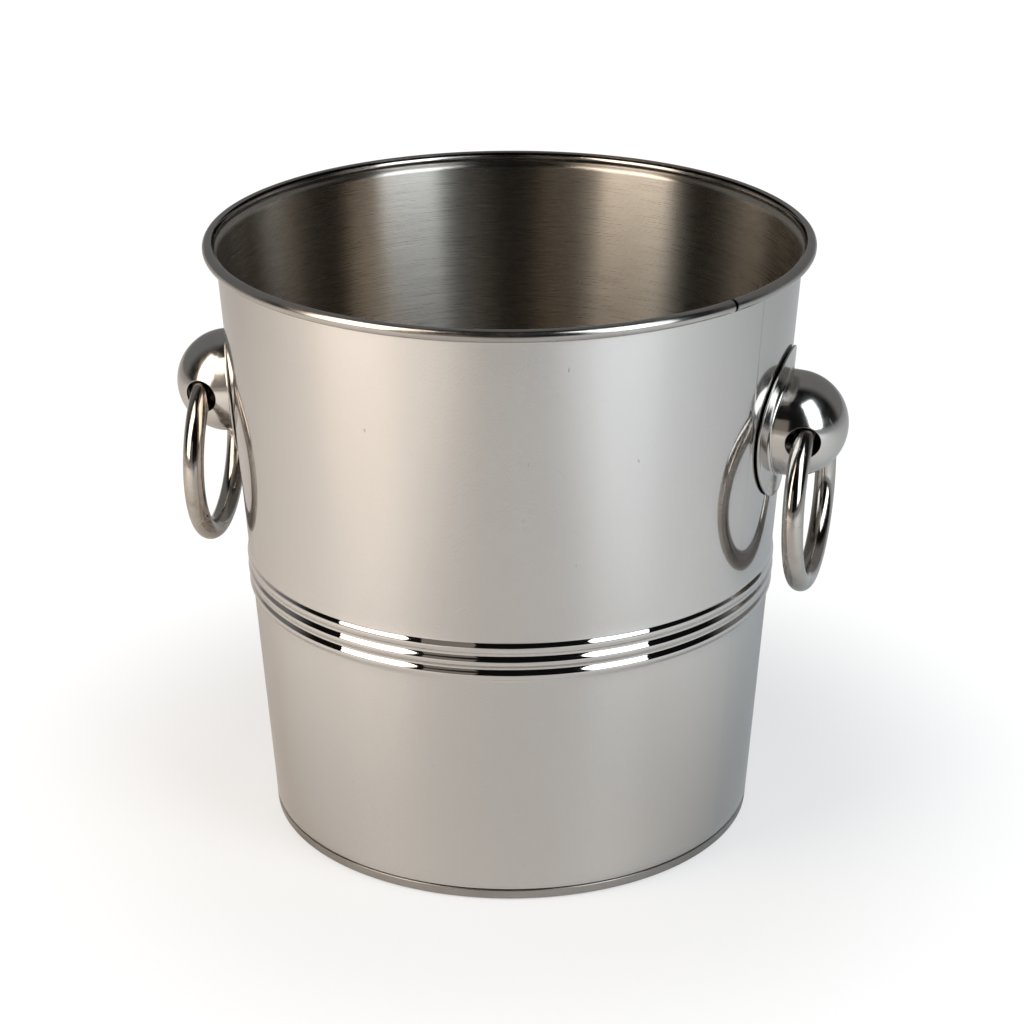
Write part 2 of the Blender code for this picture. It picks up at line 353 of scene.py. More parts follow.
def make_sheet_finish():
    """The wall's outside: polish crossed by very fine lines, a weld line and small marks.

    The beads are left without lines, as the swaging tool burnishes them.
    """
    material, tree, shader = new_finish("Polished sheet steel", (0.55, 0.54, 0.53), 0.1)
    brush_around_axis(tree, shader, 0.92)
    haze = noise(tree, 13.0, detail=5.0)
    rubbed = noise(tree, 1.0, (7000.0, 7000.0, 16000.0), detail=0.0)
    nicks = remap(tree, noise(tree, 420.0, (1, 1, 0.35), detail=1.0), 0.80, 0.84, 0.0, 1.0)
    point = split_point(tree)
    line = remap(tree, turned_from(tree, point, SEAM_ANGLE), 0.001, 0.005, 1.0, 0.0)
    seam = maths(tree, "MULTIPLY", line, remap(tree, point["Z"], 0.13, 0.19, 0.25, 1.0))
    bead_middle = (BEAD_FIRST + (BEADS - 1) / 2 * BEAD_PITCH) * MM
    off_beads = maths(tree, "ABSOLUTE", maths(tree, "SUBTRACT", point["Z"], bead_middle))
    half_span = BEADS / 2 * BEAD_PITCH * MM
    lined = remap(tree, off_beads, half_span - 0.8 * MM, half_span + 0.5 * MM, 0.0, 1.0)
    grooves = maths(tree, "MULTIPLY", remap(tree, rubbed, 0.56, 0.61, 0.0, 1.0), lined)
    rough = remap(tree, haze, 0.35, 0.7, 0.035, 0.06)
    for marks, rougher in ((grooves, 0.28), (seam, 0.12), (nicks, 0.2)):
        rough = maths(tree, "MULTIPLY_ADD", marks, rougher, rough)
    clean = tint(tree, haze, SHEET_LIGHT, SHEET_GREY)
    marked = tint(tree, maths(tree, "MULTIPLY", seam, 0.35), clean, WELD_GREY)
    worn = tint(tree, maths(tree, "MULTIPLY", nicks, 0.6), marked, NICK_BROWN)
    lead_in(tree, shader, rough, worn, bump(tree, seam, 0.00003))
    return material


def make_inside_finish():
    """The wall's inside: brushed round the bucket, with water stains."""
    material, tree, shader = new_finish("Brushed inner steel", (0.42, 0.39, 0.35), 0.4)
    lines = hairlines(tree, 4200.0, 40.0)
    coarse = hairlines(tree, 420.0, 3.0)
    stain_noise = noise(tree, 34.0, detail=6.0, roughness=0.7)
    stain = remap(tree, stain_noise, 0.66, 0.74, 0.0, 1.0)
    rough = maths(tree, "MULTIPLY_ADD", lines, 0.12, 0.22)
    rough = maths(tree, "MULTIPLY_ADD", stain, 0.15, rough)
    steel = tint(tree, lines, INNER_DARK, INNER_LIGHT)
    steel = tint(tree, maths(tree, "MULTIPLY", coarse, 0.2), steel, INNER_GREY)
    steel = tint(tree, maths(tree, "MULTIPLY", stain, 0.7), steel, STAIN_BROWN)
    lead_in(tree, shader, rough, steel, bump(tree, lines, 0.000002))
    brush_around_axis(tree, shader, 0.97)
    return material


def make_rim_finish():
    """Rolled tube, rubbed dull in places, with painted shade in its butt joint."""
    material, tree, shader = new_finish("Bright rolled tube", (0.5, 0.49, 0.47), 0.16)
    rub = noise(tree, 60.0, detail=5.0)
    wear = scratches(tree, 60.0, 0.02)
    rough = remap(tree, rub, 0.3, 0.75, 0.14, 0.28)
    rough = maths(tree, "MULTIPLY_ADD", wear, 0.2, rough)
    away = turned_from(tree, split_point(tree), RIM_JOINT_ANGLE)
    # Painted shade: the tube's ends and inside near the joint gap turn near-black
    joint_shade = remap(tree, away, 0.0045, 0.0075, 1.0, 0.0)
    steel = tint(tree, joint_shade, tint(tree, rub, RIM_LIGHT, RIM_DARK), JOINT_GAP_SHADE)
    lead_in(tree, shader, rough, steel, bump(tree, wear, -0.00001))
    return material


def make_pan_finish():
    """The pan's steel, with turning marks in rings round its middle."""
    material, tree, shader = new_finish("Brushed pan steel", (0.5, 0.48, 0.46), 0.33)
    flat = object_point(tree, (1, 1, 0))
    reach = add(tree, "ShaderNodeVectorMath", {0: flat}, operation="LENGTH").outputs["Value"]
    inputs = {"W": maths(tree, "MULTIPLY", reach, 900.0), "Scale": 1.0, "Detail": 4.0}
    rings = add(tree, "ShaderNodeTexNoise", inputs, noise_dimensions="1D").outputs["Fac"]
    smear = noise(tree, 40.0, detail=5.0)
    rough = maths(tree, "MULTIPLY_ADD", rings, 0.2, 0.2)
    rough = maths(tree, "MULTIPLY_ADD", smear, 0.12, rough)
    steel = tint(tree, smear, PAN_LIGHT, PAN_DARK)
    lead_in(tree, shader, rough, steel, bump(tree, rings, 0.00001))
    brush_around_axis(tree, shader, 0.6)
    return material


def off_wall(tree):
    """How far a point stands out from the wall's outer face."""
    flat = object_point(tree, (1, 1, 0))
    across = add(tree, "ShaderNodeVectorMath", {0: flat}, operation="LENGTH")
    wall = maths(tree, "MULTIPLY_ADD", split_point(tree)["Z"], SLOPE, FOOT_RADIUS * MM)
    return maths(tree, "SUBTRACT", across.outputs["Value"], wall)


def make_knob_finish(name, dull=0.0):
    """Mirror polish with turning lines and a few scuffs, and painted shade close to the wall."""
    material, tree, shader = new_finish(name, (0.45, 0.43, 0.40), 0.1)
    turning = hairlines(tree, 2200.0, 30.0, axis="X")
    smear = noise(tree, 90.0, detail=5.0)
    wear = scratches(tree, 90.0, 0.02)
    rough = remap(tree, smear, 0.35, 0.75, 0.08 + dull, 0.19 + dull)
    rough = maths(tree, "MULTIPLY_ADD", turning, 0.06, rough)
    rough = maths(tree, "MULTIPLY_ADD", wear, 0.2, rough)
    # Painted shade: the plate's back and edge go near-black within about 0.85 mm of the wall
    gap_shade = remap(tree, off_wall(tree), 0.55 * MM, 0.85 * MM, 1.0, 0.0)
    steel = tint(tree, gap_shade, tint(tree, smear, KNOB_LIGHT, KNOB_DARK), WALL_GAP_SHADE)
    fine = bump(tree, turning, 0.000004)
    lead_in(tree, shader, rough, steel, bump(tree, wear, -0.00002, below=fine))
    return material


def make_wire_finish():
    """Polished wire that has dulled and browned a little in patches, with fine pits."""
    material, tree, shader = new_finish("Polished ring wire", (0.42, 0.39, 0.36), 0.13)
    smear = noise(tree, 70.0, detail=6.0, roughness=0.65)
    wear = scratches(tree, 110.0, 0.12)
    pits = remap(tree, noise(tree, 900.0, detail=2.0), 0.68, 0.76, 0.0, 1.0)
    rough = remap(tree, smear, 0.35, 0.7, 0.08, 0.22)
    rough = maths(tree, "MULTIPLY_ADD", wear, 0.25, rough)
    browned = remap(tree, smear, 0.45, 0.75, 0.0, 1.0)
    steel = tint(tree, browned, WIRE_LIGHT, WIRE_DARK)
    steel = tint(tree, maths(tree, "MULTIPLY", pits, 0.4), steel, WIRE_PIT)
    lead_in(tree, shader, rough, steel, bump(tree, wear, -0.00003))
    return material


def make_fixing_finish():
    """Plain bright steel of screws, nuts and flat washers."""
    material, tree, shader = new_finish("Plain bright fixings", (0.55, 0.54, 0.53), 0.3)
    smear = noise(tree, 260.0, detail=4.0)
    rough = remap(tree, smear, 0.3, 0.7, 0.2, 0.42)
    lead_in(tree, shader, rough, tint(tree, smear, FIXING_LIGHT, FIXING_DARK))
    return material


def make_rubber_finish():
    """Dull grey rubber of the sealing washers."""
    material, tree, shader = new_finish("Grey sealing rubber", (0.06, 0.06, 0.06), 0.7, 0.0)
    grain = noise(tree, 1800.0, detail=2.0)
    rough = remap(tree, grain, 0.3, 0.7, 0.6, 0.85)
    rubber = tint(tree, grain, RUBBER_DARK, RUBBER_LIGHT)
    lead_in(tree, shader, rough, rubber, bump(tree, grain, 0.00002))
    return material


# ---------------------------------------------------------------------------
# Meshes
# ---------------------------------------------------------------------------


def put_in_scene(name, data):
    """A new object in the scene, at the origin."""
    thing = bpy.data.objects.new(name, data)
    bpy.context.scene.collection.objects.link(thing)
    return thing


def kept_mesh(name, shape):
    """Keep a shape in the making as a mesh, and let the shape go."""
    mesh = bpy.data.meshes.new(name)
    shape.to_mesh(mesh)
    shape.free()
    return mesh


def applied(holder):
    """An object's mesh with its modifiers applied. The object itself is taken away."""
    depsgraph = bpy.context.evaluated_depsgraph_get()
    depsgraph.update()
    mesh = bpy.data.meshes.new_from_object(holder.evaluated_get(depsgraph), depsgraph=depsgraph)
    holder.modifiers.clear()
    bpy.data.objects.remove(holder)
    return mesh


def settle(name, mesh, material, body, nodes, sharp):
    """Make a finished mesh a piece: smooth, on its body, in place of its CAD nodes."""
    mesh.name = name
    mesh.shade_smooth()
    mesh.set_sharp_from_angle(angle=radians(sharp))
    if not mesh.materials:
        mesh.materials.append(material)
    piece = put_in_scene(name, mesh)
    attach(piece, body)
    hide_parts(*nodes)
    return piece


def turned_mesh(name, outline, steps, place=Matrix.Identity(4)):
    """A solid turned about Z from (radius, height) points, then put in its place.

    An outline that touches the axis nowhere is closed into a ring.
    """
    shape = bmesh.new()
    points = [shape.verts.new((r * MM, 0, z * MM)) for r, z in outline]
    lines = [shape.edges.new(pair) for pair in zip(points, points[1:])]
    if outline[0][0] > 0 or outline[-1][0] > 0:
        lines.append(shape.edges.new((points[-1], points[0])))
    turn = {"cent": (0, 0, 0), "axis": (0, 0, 1), "angle": 2 * pi, "steps": steps}
    bmesh.ops.spin(shape, geom=points + lines, use_merge=True, **turn)
    bmesh.ops.remove_doubles(shape, verts=shape.verts[:], dist=MERGE_TURNED * MM)
    bmesh.ops.recalc_face_normals(shape, faces=shape.faces[:])
    shape.transform(place)
    return kept_mesh(name, shape)


def arc(centre, radius, first, last, count):
    """Points along an arc in an outline, both ends included."""
    angles = [radians(first + (last - first) * i / (count - 1)) for i in range(count)]
    return [(centre[0] + radius * cos(a), centre[1] + radius * sin(a)) for a in angles]


def rounded(points, radius, count=4):
    """An outline with each corner that isn't on the axis rounded."""
    smooth = []
    for i, (r, z) in enumerate(points):
        before, here, after = (Vector(points[j % len(points)]) for j in (i - 1, i, i + 1))
        if r == 0 or (i in (0, len(points) - 1) and points[0][0] == 0):
            smooth.append((r, z))
            continue
        a, b = (before - here).normalized(), (after - here).normalized()
        half = acos(max(-1.0, min(1.0, a.dot(b)))) / 2
        shorter = min((before - here).length, (after - here).length)
        reach = min(radius / tan(half), shorter / 2.2)
        start, stop = here + a * reach, here + b * reach
        for k in range(count + 1):
            t = k / count
            smooth.append(tuple(start * (1 - t) ** 2 + here * 2 * t * (1 - t) + stop * t**2))
    return smooth


# ---------------------------------------------------------------------------
# Geometry Nodes pieces
# ---------------------------------------------------------------------------


def new_tree(name, sizes):
    """A Geometry Nodes tree with named size inputs, and what its inputs give."""
    tree = bpy.data.node_groups.new(name, "GeometryNodeTree")
    face = tree.interface
    face.new_socket("Geometry", in_out="INPUT", socket_type="NodeSocketGeometry")
    for label, value in sizes.items():
        kind = "NodeSocketInt" if isinstance(value, int) else "NodeSocketFloat"
        if isinstance(value, bpy.types.Material):
            kind = "NodeSocketMaterial"
        face.new_socket(label, in_out="INPUT", socket_type=kind)
    face.new_socket("Geometry", in_out="OUTPUT", socket_type="NodeSocketGeometry")
    return tree, add(tree, "NodeGroupInput").outputs


def thicken(tree, sheet, thickness):
    """Give an open sheet its thickness inwards. Returns the solid and its inner faces."""
    inward = maths(tree, "MULTIPLY", thickness, -1.0)
    inputs = {"Mesh": sheet, "Offset Scale": inward, "Individual": False}
    raised = add(tree, "GeometryNodeExtrudeMesh", inputs)
    turned = add(tree, "GeometryNodeFlipFaces", {"Mesh": raised.outputs["Mesh"]})
    both = add(tree, "GeometryNodeJoinGeometry")
    tree.links.new(turned.outputs[0], both.inputs[0])
    tree.links.new(sheet, both.inputs[0])
    merge = {"Geometry": both.outputs[0], "Distance": MERGE_SHEET * MM}
    return add(tree, "GeometryNodeMergeByDistance", merge).outputs[0], raised.outputs["Top"]


def give_out(tree, geometry, material, inner=None, inner_faces=None):
    """End the tree: real geometry, its material and, if it has one, the inner one."""
    real = add(tree, "GeometryNodeRealizeInstances", {"Geometry": geometry})
    coat = add(tree, "GeometryNodeSetMaterial", {"Geometry": real.outputs[0], "Material": material})
    if inner is not None:
        inputs = {"Geometry": coat.outputs[0], "Material": inner, "Selection": inner_faces}
        coat = add(tree, "GeometryNodeSetMaterial", inputs)
    add(tree, "NodeGroupOutput", {"Geometry": coat.outputs[0]})


def grown(tree, sizes, place=Matrix.Identity(4)):
    """Run a tree on an empty mesh, and keep the result as a plain mesh in its place."""
    holder = put_in_scene(tree.name, bpy.data.meshes.new(tree.name))
    modifier = holder.modifiers.new(tree.name, "NODES")
    modifier.node_group = tree
    for socket in tree.interface.items_tree:
        if socket.in_out == "INPUT" and socket.name in sizes:
            modifier[socket.identifier] = sizes[socket.name]
    mesh = applied(holder)
    mesh.transform(place)
    return mesh


def mesh_point(tree):
    """The three coordinates of a mesh's points."""
    spot = add(tree, "GeometryNodeInputPosition").outputs[0]
    return add(tree, "ShaderNodeSeparateXYZ", {"Vector": spot}).outputs


def sheet_zone(tree, ask, low, high, rows):
    """One band of the wall between two heights, still flat: X is the turn, Z the height."""
    inputs = {"Size X": 1.0, "Size Y": 1.0, "Vertices X": ask["Steps around"], "Vertices Y": rows}
    grid = add(tree, "GeometryNodeMeshGrid", inputs).outputs["Mesh"]
    flat = mesh_point(tree)
    along = maths(tree, "ADD", flat["Y"], 0.5)
    height = maths(tree, "MULTIPLY_ADD", along, maths(tree, "SUBTRACT", high, low), low)
    place = add(tree, "ShaderNodeCombineXYZ", {"X": flat["X"], "Z": height}).outputs[0]
    return add(tree, "GeometryNodeSetPosition", {"Geometry": grid, "Position": place}).outputs[0]


def bead_offset(tree, ask, height):
    """How far the swaged beads stand out of the wall at a height."""
    raw = maths(tree, "DIVIDE", maths(tree, "SUBTRACT", height, ask["First bead"]), ask["Bead pitch"])
    last = maths(tree, "SUBTRACT", ask["Beads"], 1.0)
    which = maths(tree, "MAXIMUM", maths(tree, "MINIMUM", maths(tree, "ROUND", raw), last), 0.0)
    from_middle = maths(tree, "ABSOLUTE", maths(tree, "SUBTRACT", raw, which))
    inside = maths(tree, "MINIMUM", from_middle, 0.5)
    wave = maths(tree, "COSINE", maths(tree, "MULTIPLY", inside, 2 * pi))
    crown = maths(tree, "MULTIPLY_ADD", wave, 0.5, 0.5)
    highest = maths(tree, "COMPARE", which, last, 0.1)
    share = remap(tree, highest, 0.0, 1.0, 1.0, ask["Top bead share"], "LINEAR")
    rise = maths(tree, "MULTIPLY", ask["Bead rise"], share)
    return maths(tree, "MULTIPLY", maths(tree, "POWER", crown, BEAD_FULLNESS), rise)


def wall_tree(sizes):
    """The wall: bands of sheet rolled into a cone, with beads, a stepped foot and a flare."""
    tree, ask = new_tree("Bucket wall sheet", sizes)
    below = maths(tree, "MULTIPLY_ADD", ask["Bead pitch"], -0.5, ask["First bead"])
    span = maths(tree, "MULTIPLY", ask["Bead pitch"], ask["Beads"])
    above = maths(tree, "ADD", below, span)
    bends = maths(tree, "ADD", ask["Ledge height"], FOOT_BEND * MM)
    turn_out = maths(tree, "SUBTRACT", ask["Flare height"], FLARE_BEND * MM)
    bands = add(tree, "GeometryNodeJoinGeometry")
    # Each band's lower and upper edge, and how many rows of points it has
    stops = ((ask["Low edge"], bends, 14), (bends, below, 24), (below, above, 61))
    stops += ((above, turn_out, 30), (turn_out, ask["High edge"], 14))
    for low, high, rows in stops:
        tree.links.new(sheet_zone(tree, ask, low, high, rows), bands.inputs[0])
    flat = mesh_point(tree)
    height = flat["Z"]
    turn = maths(tree, "MULTIPLY", flat["X"], 2 * pi)
    radius = maths(tree, "MULTIPLY_ADD", height, ask["Slope"], ask["Foot radius"])
    radius = maths(tree, "ADD", radius, bead_offset(tree, ask, height))
    past = maths(tree, "SUBTRACT", height, ask["Flare height"])
    radius = maths(tree, "ADD", radius, maths(tree, "SMOOTH_MAX", past, 0.0, FLARE_EASE * MM))
    over = maths(tree, "SUBTRACT", height, ask["Ledge height"])
    tuck = remap(tree, over, -TUCK_BELOW * MM, TUCK_ABOVE * MM, 1.0, 0.0)
    radius = maths(tree, "SUBTRACT", radius, maths(tree, "MULTIPLY", tuck, ask["Foot step"]))
    x, y = maths(tree, "COSINE", turn), maths(tree, "SINE", turn)
    circle = {"X": maths(tree, "MULTIPLY", x, 0.1), "Y": maths(tree, "MULTIPLY", y, 0.1)}
    circle["Z"] = height
    spot = add(tree, "ShaderNodeCombineXYZ", circle).outputs[0]
    waves = add(tree, "ShaderNodeTexNoise", {"Vector": spot, "Scale": 16.0, "Detail": 1.0}).outputs["Fac"]
    swell = maths(tree, "MULTIPLY", maths(tree, "SUBTRACT", waves, 0.5), ask["Waviness"])
    radius = maths(tree, "ADD", radius, swell)
    rolled = {"X": maths(tree, "MULTIPLY", x, radius), "Y": maths(tree, "MULTIPLY", y, radius)}
    rolled["Z"] = height
    place = add(tree, "ShaderNodeCombineXYZ", rolled).outputs[0]
    cone = add(tree, "GeometryNodeSetPosition", {"Geometry": bands.outputs[0], "Position": place})
    merge = {"Geometry": cone.outputs[0], "Distance": MERGE_WALL * MM}
    closed = add(tree, "GeometryNodeMergeByDistance", merge)
    solid, inner_faces = thicken(tree, closed.outputs[0], ask["Sheet thickness"])
    give_out(tree, solid, ask["Outer finish"], ask["Inner finish"], inner_faces)
    return tree


def make_wall(outer, inner):
    """The wall's sheet, with one finish outside and another inside."""
    sizes = {
        "Foot radius": FOOT_RADIUS * MM,
        "Slope": SLOPE,
        "Sheet thickness": SHEET * MM,
        "Low edge": WALL_LOW.z,
        "High edge": (FLARE_START + FLARE_REACH) * MM,
        "Ledge height": LEDGE * MM,
        "Foot step": FOOT_STEP * MM,
        "Flare height": FLARE_START * MM,
        "First bead": BEAD_FIRST * MM,
        "Bead pitch": BEAD_PITCH * MM,
        "Bead rise": BEAD_RISE * MM,
        "Top bead share": TOP_BEAD_SHARE,
        "Waviness": WAVINESS * MM,
        "Beads": BEADS,
        "Steps around": WALL_STEPS,
        "Outer finish": outer,
        "Inner finish": inner,
    }
    mesh = grown(wall_tree(sizes), sizes)
    return settle("wall_sheet", mesh, outer, "bucket", ["bucket_wall"], 50.0)


def rim_tree(sizes):
    """A strip bent round into a slotted tube, then round the mouth, open at its joint."""
    tree, ask = new_tree("Slotted rim tube", sizes)
    inputs = {"Radius": ask["Mouth radius"], "Start Angle": ask["Joint start"]}
    inputs.update({"Sweep Angle": ask["Joint sweep"], "Resolution": RIM_STEPS})
    path = add(tree, "GeometryNodeCurveArc", inputs, mode="RADIUS").outputs["Curve"]
    inputs = {"Radius": ask["Tube radius"], "Start Angle": ask["Slot start"]}
    inputs.update({"Sweep Angle": ask["Slot sweep"], "Resolution": RIM_TUBE_STEPS})
    strip = add(tree, "GeometryNodeCurveArc", inputs, mode="RADIUS").outputs["Curve"]
    swept = {"Curve": path, "Profile Curve": strip}
    tube = add(tree, "GeometryNodeCurveToMesh", swept).outputs[0]
    solid, _ = thicken(tree, tube, ask["Tube wall"])
    give_out(tree, solid, ask["Finish"])
    return tree


def make_rim(finish):
    """The rim tube, with its top and its width on the frame's own box."""
    gap = RIM_JOINT_GAP / RIM_RADIUS
    half_slot = asin(RIM_SLOT_WIDTH / 2 / RIM_TUBE_RADIUS)
    sizes = {
        "Mouth radius": (RIM_RADIUS - RIM_TUBE_RADIUS) * MM,
        "Tube radius": RIM_TUBE_RADIUS * MM,
        "Tube wall": RIM_TUBE_WALL * MM,
        "Joint start": radians(RIM_JOINT_ANGLE) + gap / 2,
        "Joint sweep": 2 * pi - gap,
        "Slot start": radians(RIM_SLOT_ANGLE) + half_slot,
        "Slot sweep": 2 * pi - 2 * half_slot,
        "Finish": finish,
    }
    place = Matrix.Translation((0, 0, (HEIGHT - RIM_TUBE_RADIUS) * MM))
    mesh = grown(rim_tree(sizes), sizes, place)
    return settle("rim_tube_polished", mesh, finish, "bucket", ["rim_tube"], 40.0)


def ring_tree(sizes):
    """Round wire bent along an open circle, with closed ends."""
    tree, ask = new_tree("Ring of round wire", sizes)
    inputs = {"Radius": ask["Ring radius"], "Start Angle": ask["End angle"]}
    inputs.update({"Sweep Angle": ask["Bend"], "Resolution": RING_STEPS})
    path = add(tree, "GeometryNodeCurveArc", inputs, mode="RADIUS").outputs["Curve"]
    section = {"Radius": ask["Wire radius"], "Resolution": WIRE_STEPS}
    wire = add(tree, "GeometryNodeCurvePrimitiveCircle", section, mode="RADIUS").outputs["Curve"]
    swept = {"Curve": path, "Profile Curve": wire, "Fill Caps": True}
    bent = add(tree, "GeometryNodeCurveToMesh", swept).outputs[0]
    give_out(tree, bent, ask["Finish"])
    return tree


def hinge_point(side):
    """The middle of a knob's cross hole, which its ring swings about."""
    return handle_frame(side) @ Vector((HINGE_DROP * MM, 0, HINGE_OUT * MM))


def make_ring(side, word, finish):
    """A ring that hangs plumb from its knob, with its two ends hidden inside the knob."""
    end = asin(RING_END / RING_RADIUS)
    sizes = {
        "Ring radius": RING_RADIUS * MM,
        "Wire radius": WIRE_RADIUS * MM,
        "End angle": pi / 2 + end,
        "Bend": 2 * pi - 2 * end,
        "Finish": finish,
    }
    drop = sqrt(RING_RADIUS**2 - RING_CROSSING**2) * MM
    upright = Matrix.Rotation(radians(90), 4, "Z") @ Matrix.Rotation(radians(90), 4, "X")
    turn = Matrix.Rotation(radians(handle_angle(side)), 4, "Z")
    hang = Matrix.Translation(hinge_point(side)) @ turn @ Matrix.Translation((0, 0, -drop))
    mesh = grown(ring_tree(sizes), sizes, hang @ upright)
    body = word + "_ring"
    return settle("wire_ring_" + word, mesh, finish, body, ["ring_" + word], 60.0)


# ---------------------------------------------------------------------------
# Base pan, plates, knobs and fixings
# ---------------------------------------------------------------------------


def make_base_pan(finish):
    """A pressed pan with a stepped, dished middle and an upstand round the wall's foot."""
    top = wall_radius(PAN_TOP)
    side = [(wall_radius(PAN_CORNER), PAN_CORNER), (top, PAN_TOP), (top - SHEET, PAN_TOP)]
    corner = [(wall_radius(SHEET) - SHEET - 0.2, SHEET)]
    outline = rounded(PAN_UNDERSIDE + side + corner + PAN_FLOOR, PAN_CORNER, 5)
    mesh = turned_mesh("pan", outline, PAN_STEPS)
    return settle("pressed_base_pan", mesh, finish, "bucket", ["base_pan"], 60.0)


def bend_to_wall(mesh, side):
    """Lay a mesh made on a flat wall (X down, Y along, Z out) round the bucket's cone."""
    slant, turn = radians(TAPER), radians(handle_angle(side))
    for vertex in mesh.vertices:
        down, along, out = vertex.co / MM
        height = HANDLE_HEIGHT - down * cos(slant)
        angle = turn + along / wall_radius(height)
        radius = wall_radius(height) + out * cos(slant)
        height -= out * sin(slant)
        vertex.co = Vector((radius * cos(angle), radius * sin(angle), height)) * MM


def make_back_plate(side, word, finish):
    """A round plate bent to the wall, with its edge rolled and a fillet round the knob."""
    back, front = PLATE_BACK, PLATE_FRONT
    steps = 16
    span = PLATE_RADIUS - 1.0 - PLATE_BORE
    spread = [PLATE_BORE + span * i / steps for i in range(steps)]
    dish = [(r, back + PLATE_DISH * (r / PLATE_RADIUS) ** 2) for r in spread]
    lip = back + PLATE_DISH
    low_edge = [(PLATE_EDGE_START, lip), (PLATE_RADIUS, lip)]
    high_edge = [(PLATE_RADIUS, front), (PLATE_EDGE_START, front)]
    edge = rounded(low_edge + high_edge, PLATE_EDGE_CORNER, 6)
    foot = KNOB_RADIUS + PLATE_FILLET - 0.1
    fillet = arc((foot, front + PLATE_FILLET), PLATE_FILLET, 270, 180, 9)
    face = [(foot + (PLATE_EDGE_START - 0.4 - foot) * i / 5, front) for i in range(5, 0, -1)]
    neck = foot - PLATE_FILLET - 0.6
    inside = [(neck, front + PLATE_FILLET), (neck, front), (10.0, front), (PLATE_BORE, front)]
    outline = dish + edge[4:-4] + face + fillet + inside
    mesh = turned_mesh("plate", outline, PLATE_STEPS)
    bend_to_wall(mesh, side)
    name = "round_back_plate_" + word
    return settle(name, mesh, finish, "bucket", ["back_plate_" + word], 60.0)


def flank_line(turn, count):
    """Points on one flank of the knob, from the ring hole's edge out to its outline.

    Looking along the hole, the knob is a half circle on a short straight skirt. The line
    runs straight from the hole's middle in that view and follows the dome in depth.
    """
    out, down = cos(turn), sin(turn)
    hole = Vector((HINGE_OUT - KNOB_CENTRE, HINGE_DROP))
    skirt = KNOB_CENTRE - PLATE_FRONT
    along = hole.x * out + hole.y * down
    reach = -along + sqrt(along**2 - hole.length_squared + KNOB_RADIUS**2)
    if hole.x + reach * out < 0:
        limits = [(-skirt - hole.x) / out]
        if abs(down) > 1e-9:
            limits.append(((KNOB_RADIUS if down > 0 else -KNOB_RADIUS) - hole.y) / down)
        reach = min(limits)
    fine = []
    for i in range(121):
        bend = sin(pi / 2 * i / 120)
        far = HOLE_RADIUS + (reach - HOLE_RADIUS) * bend
        d, h = hole.x + far * out, hole.y + far * down
        depth = sqrt(max(0.0, KNOB_RADIUS**2 - max(d, 0.0) ** 2 - h**2))
        if d < 0:
            d *= 1 + depth**2 / (2 * wall_radius(HANDLE_HEIGHT) * skirt)
        fine.append(Vector((h, depth, d + KNOB_CENTRE)))
    lengths = [0.0]
    for a, b in zip(fine, fine[1:]):
        lengths.append(lengths[-1] + (b - a).length)
    points, k = [], 0
    for i in range(count):
        want = lengths[-1] * i / (count - 1)
        while k < len(fine) - 2 and lengths[k + 1] < want:
            k += 1
        step = lengths[k + 1] - lengths[k]
        points.append(fine[k].lerp(fine[k + 1], (want - lengths[k]) / step if step else 0.0))
    return points


def make_knob(side, word, finish):
    """A dome on a short skirt, with both ring holes pierced and their edges turned in."""
    shape = bmesh.new()
    around, along = KNOB_STEPS_ROUND, KNOB_STEPS_OUT
    for flank in (1, -1):
        rows = []
        for i in range(around):
            line = flank_line(2 * pi * i / around, along)
            rows.append([shape.verts.new((p.x * MM, p.y * MM * flank, p.z * MM)) for p in line])
        for i in range(around):
            here, after = rows[i], rows[(i + 1) % around]
            for k in range(along - 1):
                shape.faces.new((here[k], here[k + 1], after[k + 1], after[k]))
    bmesh.ops.remove_doubles(shape, verts=shape.verts[:], dist=MERGE_KNOB * MM)
    bmesh.ops.dissolve_degenerate(shape, edges=shape.edges[:], dist=MERGE_TURNED * MM)
    bmesh.ops.recalc_face_normals(shape, faces=shape.faces[:])
    middle = Vector((0, 0, KNOB_CENTRE * MM))
    outward = sum((f.normal.dot(f.calc_center_median() - middle) for f in shape.faces))
    if outward < 0:
        bmesh.ops.reverse_faces(shape, faces=shape.faces[:])
    mesh = kept_mesh("knob", shape)
    mesh.materials.append(finish)
    holder = put_in_scene("knob", mesh)
    thick = holder.modifiers.new("Sheet", "SOLIDIFY")
    thick.thickness = KNOB_WALL * MM
    thick.offset = -1.0
    thick.use_even_offset = True
    edge = holder.modifiers.new("Turned edge", "BEVEL")
    edge.width = KNOB_EDGE * MM
    edge.segments = 4
    edge.limit_method = "ANGLE"
    edge.angle_limit = radians(50)
    solid = applied(holder)
    solid.transform(handle_frame(side))
    name = "domed_knob_" + word
    return settle(name, solid, finish, "bucket", ["knob_" + word], 50.0)


def make_fixings(side, word, steel, rubber):
    """The screw, washers and nut that clamp a handle through the wall."""
    place = handle_frame(side)
    seal = rounded(SEAL_OUTLINE, 0.35)
    washer = rounded(WASHER_OUTLINE, 0.2)
    screw = rounded(SCREW_HEAD + SCREW_SHANK, 0.3)
    parts = (
        ("seal_ring_" + word, seal, rubber, "seal_washer_" + word, "seal_rubber"),
        ("flat_washer_" + word, washer, steel, "steel_washer_" + word, "fixings"),
        ("pan_head_screw_" + word, screw, steel, "fixing_screw_" + word, "fixings"),
    )
    for name, outline, finish, node, slot in parts:
        mesh = turned_mesh(name, outline, FIXING_STEPS, place)
        settle(name, mesh, finish, "bucket", [node], 40.0)
    make_nut(word, place, steel)


